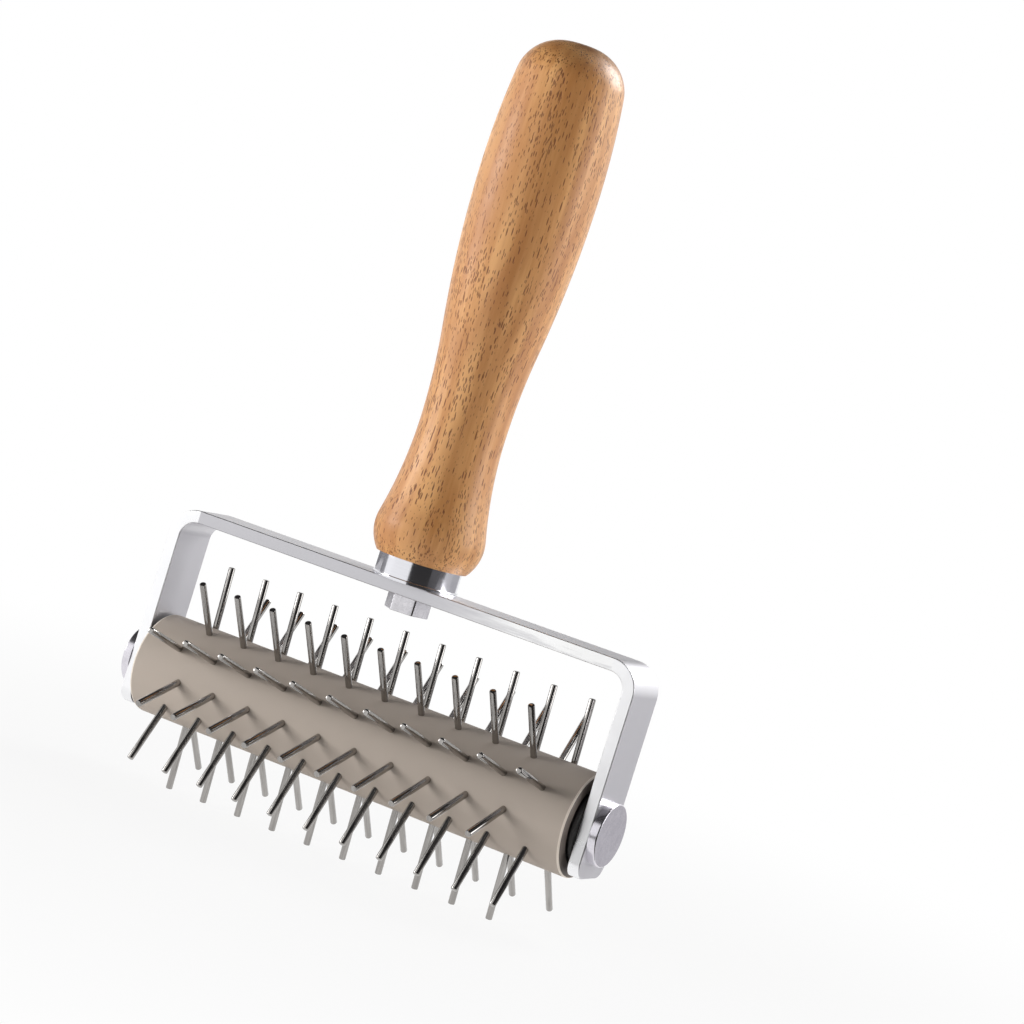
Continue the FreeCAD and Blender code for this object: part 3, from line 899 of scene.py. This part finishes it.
@dataclass
class HexBolt:
    """The hexagon bolt under the strap, with a chamfered head and a plain shank.

    Its turn is the angle of the first corner from Y, in degrees.
    """

    levels: Levels
    width: float = 0.0095
    height: float = 0.004
    turn: float = 103.5
    diameter: float = 0.006
    reach: float = 0.0162
    face_share: float = 0.96
    face_inset: float = 0.0001
    chamfer: float = 30.0
    corner_round: float = 0.0003
    corner_steps: int = 4
    edge: float = 0.00025
    edge_angle: float = 25.0
    edge_steps: int = 3
    cuts: int = 7
    steps_round: int = 32

    def build(self) -> None:
        """Make the head from a hexagon, chamfer it and add the shank."""
        work = Workpiece()
        corner = self.width / 2 / math.cos(math.pi / 6)
        bmesh.ops.create_circle(work.bm, cap_ends=True, segments=6, radius=corner)
        bmesh.ops.bevel(work.bm, geom=work.bm.verts[:], offset=self.corner_round, offset_type="OFFSET",
                        segments=self.corner_steps, profile=0.5, affect="VERTICES", clamp_overlap=True,
                        material=-1)
        sides = [edge for edge in work.bm.edges if edge.calc_length() > corner / 2]
        bmesh.ops.subdivide_edges(work.bm, edges=sides, cuts=self.cuts)
        top = work.pull(work.bm.faces[:][0], (0.0, 0.0, -self.height))
        self.cut_chamfer(work, top)
        work.close()
        work.soften(work.sharp(self.edge_angle), self.edge, self.edge_steps)
        shank = bmesh.ops.create_cone(work.bm, cap_ends=True, segments=self.steps_round, depth=self.reach,
                                      radius1=self.diameter / 2, radius2=self.diameter / 2)["verts"]
        bmesh.ops.translate(work.bm, vec=(0.0, 0.0, self.reach / 2), verts=shank)
        place = Matrix.Translation((0.0, 0.0, self.levels.strap_under))
        angle = Matrix.Rotation(math.radians(self.turn), 4, "Z")
        bmesh.ops.transform(work.bm, matrix=place @ angle, verts=work.bm.verts[:])
        work.take_off("handle_hexbolt", [BOLT_ZINC], Carrier.FRAME, "zinc_screws", "handle_bolt", flat=True)

    def cut_chamfer(self, work: Workpiece, top: Face) -> None:
        """Slope the head down from a round face to its sides.

        Args:
            work: The head on the bench.
            top: The head's outer face.
        """
        face = self.width * self.face_share / 2
        rim = top.verts[:]
        bmesh.ops.inset_region(work.bm, faces=[top], thickness=self.face_inset, use_even_offset=True)
        for vert in top.verts:
            vert.co.xy = vert.co.xy.normalized() * face
        for vert in rim:
            vert.co.z += (vert.co.xy.length - face) * math.tan(math.radians(self.chamfer))


@dataclass
class AxleScrew:
    """A screw into one end of the axle, with a low round head."""

    levels: Levels
    side: Side
    arm_outside: float = 0.0637
    head_radius: float = 0.0075
    head_height: float = 0.0021
    head_edge: float = 0.00035
    thread_radius: float = 0.003
    reach: float = 0.015
    edge_steps: int = 4
    steps_round: int = 96

    def build(self) -> None:
        """Draw half a section and spin it about the axle."""
        work = Workpiece()
        way, axle = self.side.value, self.levels.axle
        seat = way * self.arm_outside
        face = way * (self.arm_outside + self.head_height)
        tip = seat - way * self.reach
        edge = face - way * self.head_edge
        thread, rim = axle + self.thread_radius, axle + self.head_radius
        flat = rim - self.head_edge
        place = work.lines(work.point(tip, axle), (tip, thread), (seat, thread), (seat, rim), (edge, rim))
        place = work.arc(place, (edge, flat), (face, flat), self.edge_steps)
        work.lines(place, (face, axle))
        work.lathe(Axis.ROLLER, (0.0, 0.0, axle), self.steps_round)
        end = self.side.name.lower()
        work.take_off(f"axle_head_{end}", [ZINC], Carrier.FRAME, "zinc_screws", f"axle_screw_{end}",
                      flat=True)


@dataclass
class Fastenings:
    """The bolt under the strap and the two screws of the axle."""

    levels: Levels

    def build(self) -> None:
        """Make the hexagon bolt and the round-headed screws."""
        HexBolt(self.levels).build()
        for side in Side:
            AxleScrew(self.levels, side).build()


@dataclass
class Drum:
    """The drum, with a seat in each end for a cap."""

    levels: Levels
    length: float = 0.119
    radius: float = 0.0123
    rim: float = 0.0006
    rim_steps: int = 5
    # Share of the rim, next to each end, that gets the painted shade.
    painted_shade_rim_share: float = 0.125
    seat_radius: float = 0.0095
    seat_depth: float = 0.007
    bore: float = 0.0063
    steps_round: int = 128

    def build(self) -> None:
        """Draw half a section, spin it, paint shade on the end faces and inside the seats and paint a
        highlight on the rounded rims.
        """
        work = Workpiece()
        axle, end = self.levels.axle, self.length / 2
        inner, floor = end - self.rim, end - self.seat_depth
        top, seat, bore = axle + self.radius, axle + self.seat_radius, axle + self.bore
        shoulder = top - self.rim
        first = work.point(-end, seat)
        place = work.lines(first, (-end, shoulder))
        place = work.arc(place, (-inner, shoulder), (-inner, top), self.rim_steps)
        place = work.lines(place, (inner, top))
        place = work.arc(place, (inner, shoulder), (end, shoulder), self.rim_steps)
        last = work.lines(place, (end, seat), (floor, seat), (floor, bore), (-floor, bore), (-floor, seat))
        work.bm.edges.new((last, first))
        work.lathe(Axis.ROLLER, (0, 0, axle), self.steps_round)
        # Painted shade on the end faces and inside the seats, painted highlight on the rounded rims.
        painted_shade_from, wall_middle = end - self.rim * self.painted_shade_rim_share, (self.seat_radius + self.radius) / 2
        for part in work.bm.faces:
            middle = part.calc_center_median() - Vector((0, 0, axle))
            if abs(middle.x) > painted_shade_from or middle.yz.length < wall_middle:
                part.material_index = 1
            # Painted highlight on the rounded rims.
            elif abs(middle.x) > inner:
                part.material_index = 2
        work.take_off("spiked_drum", [TAUPE, END_PAINTED_SHADE, RIM_PAINTED_HIGHLIGHT], Carrier.ROLLER, "taupe_drum", "drum")


@dataclass
class PinRows:
    """The ten straight rows of blunt steel pins."""

    levels: Levels
    rows: int = 10
    pitch: float = 0.010
    shift: float = 0.00085
    long_row: int = 11
    short_row: int = 10
    phase: float = 3.4
    offset: float = 0.0034
    radius: float = 0.0008
    root: float = 0.0073
    tip_radius: float = 0.0275
    tip_edge: float = 0.00025
    tip_steps: int = 2
    steps_round: int = 18

    def build(self) -> None:
        """Make the rows, one after another."""
        for row in range(self.rows):
            self.build_row(row)

    def build_row(self, row: int) -> None:
        """Make one pin, repeat it along the drum and turn the row into place.

        Args:
            row: The row's number, from 0.
        """
        work = Workpiece()
        bmesh.ops.create_circle(work.bm, cap_ends=True, segments=self.steps_round, radius=self.radius)
        bmesh.ops.translate(work.bm, vec=(0.0, 0.0, self.root), verts=work.bm.verts[:])
        reach = math.sqrt(self.tip_radius ** 2 - self.offset ** 2)
        tip = work.pull(work.bm.faces[:][0], (0.0, 0.0, reach - self.root))
        work.soften(list(tip.edges), self.tip_edge, self.tip_steps)
        work.close()
        count, shift = (self.short_row, -self.shift) if row % 2 else (self.long_row, self.shift)
        start = shift - (count - 1) * self.pitch / 2
        bmesh.ops.translate(work.bm, vec=(start, self.offset, 0.0), verts=work.bm.verts[:])
        pin = work.bm.verts[:] + work.bm.edges[:] + work.bm.faces[:]
        for step in range(1, count):
            made = bmesh.ops.duplicate(work.bm, geom=pin)["geom"]
            bmesh.ops.translate(work.bm, vec=(step * self.pitch, 0.0, 0.0), verts=only(Vert, made))
        angle = math.radians(row * 360 / self.rows + self.phase)
        place = Matrix.Translation((0, 0, self.levels.axle)) @ Matrix.Rotation(angle, 4, "X")
        bmesh.ops.transform(work.bm, matrix=place, verts=work.bm.verts[:])
        node = f"pin_row_{row + 1:02d}"
        work.take_off(f"pins_{row + 1:02d}", [PIN_STEEL], Carrier.ROLLER, "steel_pins", node)


@dataclass
class Bearings:
    """The nodes that keep their solid shape and only get a finish."""

    nodes: dict[str, Object]
    finishes: dict[str, Finish] = field(default_factory=lambda: {
        "handle_insert": BRASS,
        "axle_rod": ROD_STEEL,
        "thrust_washer_left": NYLON,
        "thrust_washer_right": NYLON,
        "bush_left": NYLON,
        "bush_right": NYLON,
        "end_cap_left": CAP_BLACK,
        "end_cap_right": CAP_BLACK,
    })

    def dress(self) -> None:
        """Give each node its finish."""
        for name, finish in self.finishes.items():
            slots = self.nodes[name].data.materials
            slots.clear()
            slots.append(finish.material())
            log.info("%s: solid kept, finish %s", name, finish.name)


def set_out(name: str, bm: bmesh.types.BMesh, material: Material) -> Object:
    """Put a piece of the studio in the scene.

    Args:
        name: Its name.
        bm: Its shape.
        material: Its material.

    Returns:
        Its object.
    """
    mesh = bpy.data.meshes.new(name)
    bm.to_mesh(mesh)
    bm.free()
    mesh.materials.append(material)
    made = bpy.data.objects.new(name, mesh)
    bpy.context.scene.collection.objects.link(made)
    return made


@dataclass(frozen=True)
class Softbox:
    """A soft lamp."""

    name: str
    place: Triple
    aim: Triple
    size: Pair
    power: float
    catch: Catch = Catch.MATT

    def hang(self) -> None:
        """Put the lamp in the scene."""
        lamp = bpy.data.lights.new(self.name, "AREA")
        lamp.shape = "RECTANGLE"
        lamp.size, lamp.size_y = self.size
        lamp.energy = self.power
        made = bpy.data.objects.new(self.name, lamp)
        made.location = self.place
        way = Vector(self.aim) - Vector(self.place)
        made.rotation_euler = way.to_track_quat("-Z", "Y").to_euler()
        made.visible_diffuse, made.visible_glossy = self.catch.value
        bpy.context.scene.collection.objects.link(made)


@dataclass(frozen=True)
class Flag:
    """A curved card round the set, which only bright surfaces mirror.

    Its angles are in degrees, from the front towards the right, and its foot and head
    are each a distance from the middle of the set and a height.
    """

    name: str
    start: float
    end: float
    foot: Pair
    head: Pair
    shade: Shade
    steps: int = 24

    def hang(self) -> None:
        """Put the card in the scene."""
        bm = bmesh.new()
        first, turn = math.radians(self.start), math.radians(self.end - self.start)
        bm.edges.new([bm.verts.new((reach * math.sin(first), -reach * math.cos(first), up))
                      for reach, up in (self.foot, self.head)])
        bmesh.ops.spin(bm, geom=bm.verts[:] + bm.edges[:], cent=(0, 0, 0), axis=(0, 0, 1), angle=turn,
                       steps=self.steps)
        material, sheet = start_material(self.name)
        glow = sheet.add("ShaderNodeEmission", Color=linear(self.shade), Strength=1.0)
        sheet.add("ShaderNodeOutputMaterial", Surface=glow.outputs[0])
        made = set_out(self.name, bm, material)
        made.visible_camera = False
        made.visible_diffuse = False
        made.visible_transmission = False
        made.visible_shadow = False


@dataclass
class Studio:
    """A white room: floor, soft lamps, grey cards and the camera."""

    camera_place: Triple = (0.30504, -0.60001, 0.119284)
    camera_turn: Triple = (87.288, -17.344, 26.341)
    lens: float = 101.94
    floor_shade: Shade = (246, 246, 246)
    floor_size: float = 8.0
    floor_sides: int = 64
    floor_clear: float = 0.0002
    floor_glow: float = 0.34
    shadow_share: float = 0.1
    shadow_reach: Pair = (0.05, 0.34)
    ambient: float = 0.06
    lamps: list[Softbox] = field(default_factory=lambda: [
        Softbox("left_softbox", (-0.70, -0.60, 0.15), (0.0, 0.0, 0.10), (1.00, 0.28), 9.0),
        Softbox("right_softbox", (0.88, 0.36, 0.15), (0.0, 0.0, 0.10), (0.50, 0.28), 6.7),
        Softbox("left_strip", (-0.79, -0.44, 0.20), (0.0, 0.0, 0.09), (0.34, 0.20), 1.9, Catch.GLOSS),
        Softbox("right_strip", (0.84, 0.30, 0.26), (0.0, 0.0, 0.09), (0.30, 0.30), 1.3, Catch.GLOSS),
        Softbox("top_softbox", (0.24, 0.50, 0.86), (0.0, 0.0, 0.19), (0.40, 0.40), 2.6),
        Softbox("kicker", (0.40, 0.62, 0.72), (0.0, 0.0, 0.15), (0.46, 0.46), 9.5, Catch.GLOSS),
    ])
    flags: list[Flag] = field(default_factory=lambda: [
        Flag("front_card", 5.5, 62.0, (0.72, 0.0), (0.72, 0.62), (50, 49, 50)),
        Flag("side_card", 62.0, 103.5, (0.72, 0.0), (0.72, 0.62), (92, 91, 93)),
        Flag("front_floor_card", 5.5, 103.5, (0.085, 0.0004), (0.72, 0.0004), (62, 60, 58)),
        Flag("ceiling_card", 0.0, 360.0, (1.6, 0.98), (0.02, 2.0), (60, 59, 60)),
        Flag("right_card", 103.5, 132.0, (0.72, 0.0), (0.72, 0.06), (184, 183, 186)),
        Flag("right_floor_card", 120.0, 180.0, (0.1, 0.0004), (0.6, 0.0004), (192, 191, 194)),
        Flag("right_back_card", 132.0, 172.0, (0.6, 0.0), (0.6, 0.06), (176, 175, 178)),
        Flag("left_back_card", -140.0, -71.5, (0.6, 0.0), (0.6, 0.055), (132, 131, 134)),
        Flag("back_card", 191.0, 203.0, (1.1, 0.30), (1.1, 0.58), (60, 60, 62)),
    ])

    def build(self) -> None:
        """Set up the room."""
        bpy.context.scene.view_settings.view_transform = "Standard"
        self.lay_floor()
        self.paint_world()
        for piece in (*self.lamps, *self.flags):
            piece.hang()
        self.set_camera()

    def seen(self, sheet: NodeSheet) -> Socket:
        """Whether the camera, a reflection or clear glass is looking.

        Args:
            sheet: The nodes of the floor or the world.

        Returns:
            A socket that is 1 if so and 0 if not.
        """
        path = sheet.add("ShaderNodeLightPath")
        seen = sheet.math("MAXIMUM", path.outputs["Is Camera Ray"], path.outputs["Is Glossy Ray"])
        return sheet.math("MAXIMUM", seen, path.outputs["Is Transmission Ray"])

    def lay_floor(self) -> None:
        """Lay a pale floor that keeps a faint shadow."""
        bm = bmesh.new()
        bmesh.ops.create_circle(bm, cap_ends=True, segments=self.floor_sides, radius=self.floor_size / 2)
        bmesh.ops.translate(bm, vec=(0.0, 0.0, -self.floor_clear), verts=bm.verts[:])
        material, sheet = start_material("pale_floor")
        seen = self.seen(sheet)
        away = sheet.vector("LENGTH", sheet.spread()).outputs["Value"]
        white = sheet.ramp(away, self.shadow_reach, (1.0 - self.shadow_share, 1.0))
        matt = sheet.add("ShaderNodeBsdfDiffuse", Color=linear(self.floor_shade))
        glow = sheet.add("ShaderNodeEmission", Color=linear(WHITE), Strength=1.0)
        mixed = sheet.join("ShaderNodeMixShader", {}, sheet.times(seen, white), matt.outputs[0],
                           glow.outputs[0])
        lit = sheet.times(sheet.math("SUBTRACT", 1.0, seen), self.floor_glow)
        table = sheet.add("ShaderNodeEmission", Color=linear(WHITE), Strength=lit)
        both = sheet.join("ShaderNodeAddShader", {}, mixed.outputs[0], table.outputs[0])
        sheet.add("ShaderNodeOutputMaterial", Surface=both.outputs[0])
        set_out("pale_floor", bm, material)

    def paint_world(self) -> None:
        """Make the room white to look at and soft as a light."""
        world = bpy.data.worlds.new("white_room")
        bpy.context.scene.world = world
        world.use_nodes = True
        sheet = NodeSheet(world.node_tree)
        strength = sheet.ramp(self.seen(sheet), (0.0, 1.0), (self.ambient, 1.0))
        room = sheet.add("ShaderNodeBackground", Color=linear(WHITE), Strength=strength)
        sheet.add("ShaderNodeOutputWorld", Surface=room.outputs[0])

    def set_camera(self) -> None:
        """Stand the camera where the photograph was taken from."""
        data = bpy.data.cameras.new("camera")
        data.lens = self.lens
        camera = bpy.data.objects.new("camera", data)
        camera.location = self.camera_place
        camera.rotation_euler = Euler([math.radians(angle) for angle in self.camera_turn])
        bpy.context.scene.collection.objects.link(camera)
        bpy.context.scene.camera = camera


def main() -> None:
    """Load the model, build each sub-assembly over it, finish the kept solids and set up the studio."""
    logging.basicConfig(level=logging.INFO, format="%(name)s: %(message)s")
    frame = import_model()
    levels = Levels.read()
    for assembly in (Handle, Collar, Yoke, Fastenings, Drum, PinRows):
        assembly(levels).build()
    Bearings(frame["nodes"]).dress()
    Studio().build()


if __name__ == "__main__":
    main()
